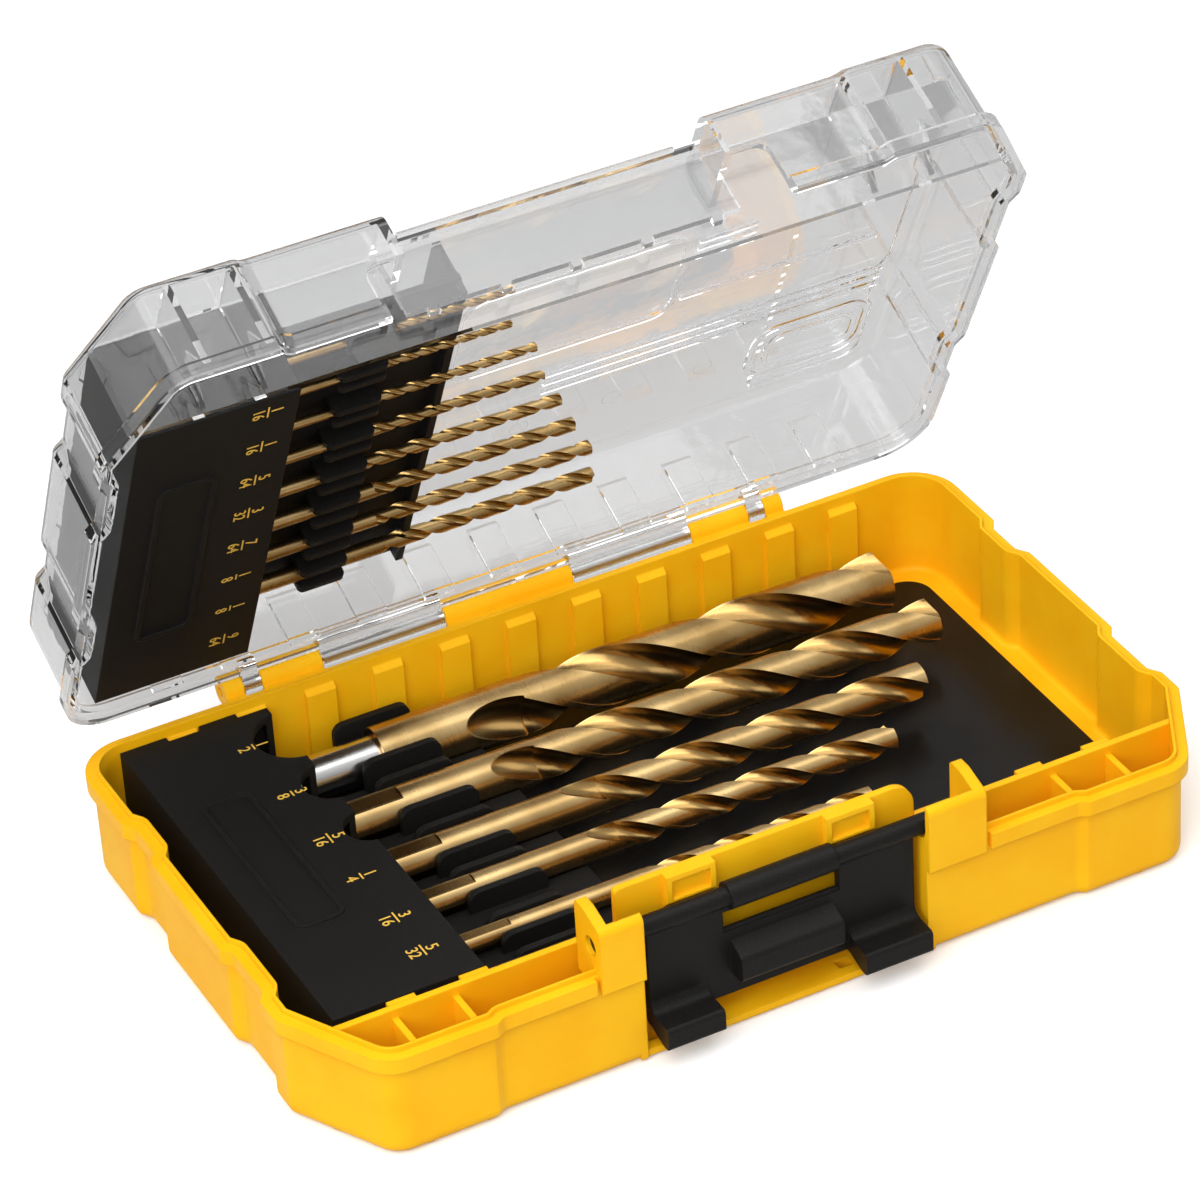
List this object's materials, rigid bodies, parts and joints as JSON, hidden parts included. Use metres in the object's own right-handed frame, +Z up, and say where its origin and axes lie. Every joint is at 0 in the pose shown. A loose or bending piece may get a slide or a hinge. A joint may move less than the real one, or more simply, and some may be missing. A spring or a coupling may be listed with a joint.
{
  "type": "drill bit case",
  "caption": "Hinged hard case with a yellow tub, clear lid and black flip latch, holding graduated gold twist drills in two clip-in bit holders.",
  "frame": {"origin": "middle of the tub's underside", "axes": "X along the hinge, +Y from the latch towards the hinge, +Z up"},
  "size_m": [0.204, 0.148, 0.1474],
  "materials": {
    "yellow_plastic": "satin moulded",
    "black_plastic": "fine matt texture",
    "black_card": "glossy",
    "clear_plastic": "clear polycarbonate",
    "pin_steel": "ground",
    "coated_steel": "gold nitride coating"
  },
  "bodies": {
    "tub": {"base_shell": "yellow_plastic", "floor_card": "black_card", "base_bit_holder": "black_plastic", "hinge_pin_left": "pin_steel", "hinge_pin_right": "pin_steel"},
    "lid": {"lid_shell": "clear_plastic", "lid_bit_holder": "black_plastic"},
    "latch": {"latch": "black_plastic"},
    "drill_1_2_inch": {"bit_1_2_inch": "coated_steel"},
    "drill_3_8_inch": {"bit_3_8_inch": "coated_steel"},
    "drill_5_16_inch": {"bit_5_16_inch": "coated_steel"},
    "drill_1_4_inch": {"bit_1_4_inch": "coated_steel"},
    "drill_3_16_inch": {"bit_3_16_inch": "coated_steel"},
    "drill_5_32_inch": {"bit_5_32_inch": "coated_steel"},
    "drill_1_16_inch_a": {"bit_1_16_inch_a": "coated_steel"},
    "drill_1_16_inch_b": {"bit_1_16_inch_b": "coated_steel"},
    "drill_5_64_inch": {"bit_5_64_inch": "coated_steel"},
    "drill_3_32_inch": {"bit_3_32_inch": "coated_steel"},
    "drill_7_64_inch": {"bit_7_64_inch": "coated_steel"},
    "drill_1_8_inch_a": {"bit_1_8_inch_a": "coated_steel"},
    "drill_1_8_inch_b": {"bit_1_8_inch_b": "coated_steel"},
    "drill_9_64_inch": {"bit_9_64_inch": "coated_steel"}
  },
  "joints": [
    {"name": "lid_hinge", "type": "hinge", "parent": "tub", "child": "lid", "pos_m": [0, 0.0653, 0.0252], "axis": [-1, 0, 0], "range_deg": [-63.7, 46.3]},
    {"name": "latch_pivot", "type": "hinge", "parent": "tub", "child": "latch", "pos_m": [0, -0.056, 0.0305], "axis": [-1, 0, 0], "range_deg": [0, 180]},
    {"name": "drill_1_2_inch_slide", "type": "slide", "parent": "tub", "child": "drill_1_2_inch", "axis": [1, 0, 0], "range_m": [0, 0.01]},
    {"name": "drill_3_8_inch_slide", "type": "slide", "parent": "tub", "child": "drill_3_8_inch", "axis": [1, 0, 0], "range_m": [0, 0.01]},
    {"name": "drill_5_16_inch_slide", "type": "slide", "parent": "tub", "child": "drill_5_16_inch", "axis": [1, 0, 0], "range_m": [0, 0.01]},
    {"name": "drill_1_4_inch_slide", "type": "slide", "parent": "tub", "child": "drill_1_4_inch", "axis": [1, 0, 0], "range_m": [0, 0.01]},
    {"name": "drill_3_16_inch_slide", "type": "slide", "parent": "tub", "child": "drill_3_16_inch", "axis": [1, 0, 0], "range_m": [0, 0.01]},
    {"name": "drill_5_32_inch_slide", "type": "slide", "parent": "tub", "child": "drill_5_32_inch", "axis": [1, 0, 0], "range_m": [0, 0.01]},
    {"name": "drill_1_16_inch_a_slide", "type": "slide", "parent": "lid", "child": "drill_1_16_inch_a", "axis": [1, 0, 0], "range_m": [0, 0.01]},
    {"name": "drill_1_16_inch_b_slide", "type": "slide", "parent": "lid", "child": "drill_1_16_inch_b", "axis": [1, 0, 0], "range_m": [0, 0.01]},
    {"name": "drill_5_64_inch_slide", "type": "slide", "parent": "lid", "child": "drill_5_64_inch", "axis": [1, 0, 0], "range_m": [0, 0.01]},
    {"name": "drill_3_32_inch_slide", "type": "slide", "parent": "lid", "child": "drill_3_32_inch", "axis": [1, 0, 0], "range_m": [0, 0.01]},
    {"name": "drill_7_64_inch_slide", "type": "slide", "parent": "lid", "child": "drill_7_64_inch", "axis": [1, 0, 0], "range_m": [0, 0.01]},
    {"name": "drill_1_8_inch_a_slide", "type": "slide", "parent": "lid", "child": "drill_1_8_inch_a", "axis": [1, 0, 0], "range_m": [0, 0.01]},
    {"name": "drill_1_8_inch_b_slide", "type": "slide", "parent": "lid", "child": "drill_1_8_inch_b", "axis": [1, 0, 0], "range_m": [0, 0.01]},
    {"name": "drill_9_64_inch_slide", "type": "slide", "parent": "lid", "child": "drill_9_64_inch", "axis": [1, 0, 0], "range_m": [0, 0.01]}
  ]
}
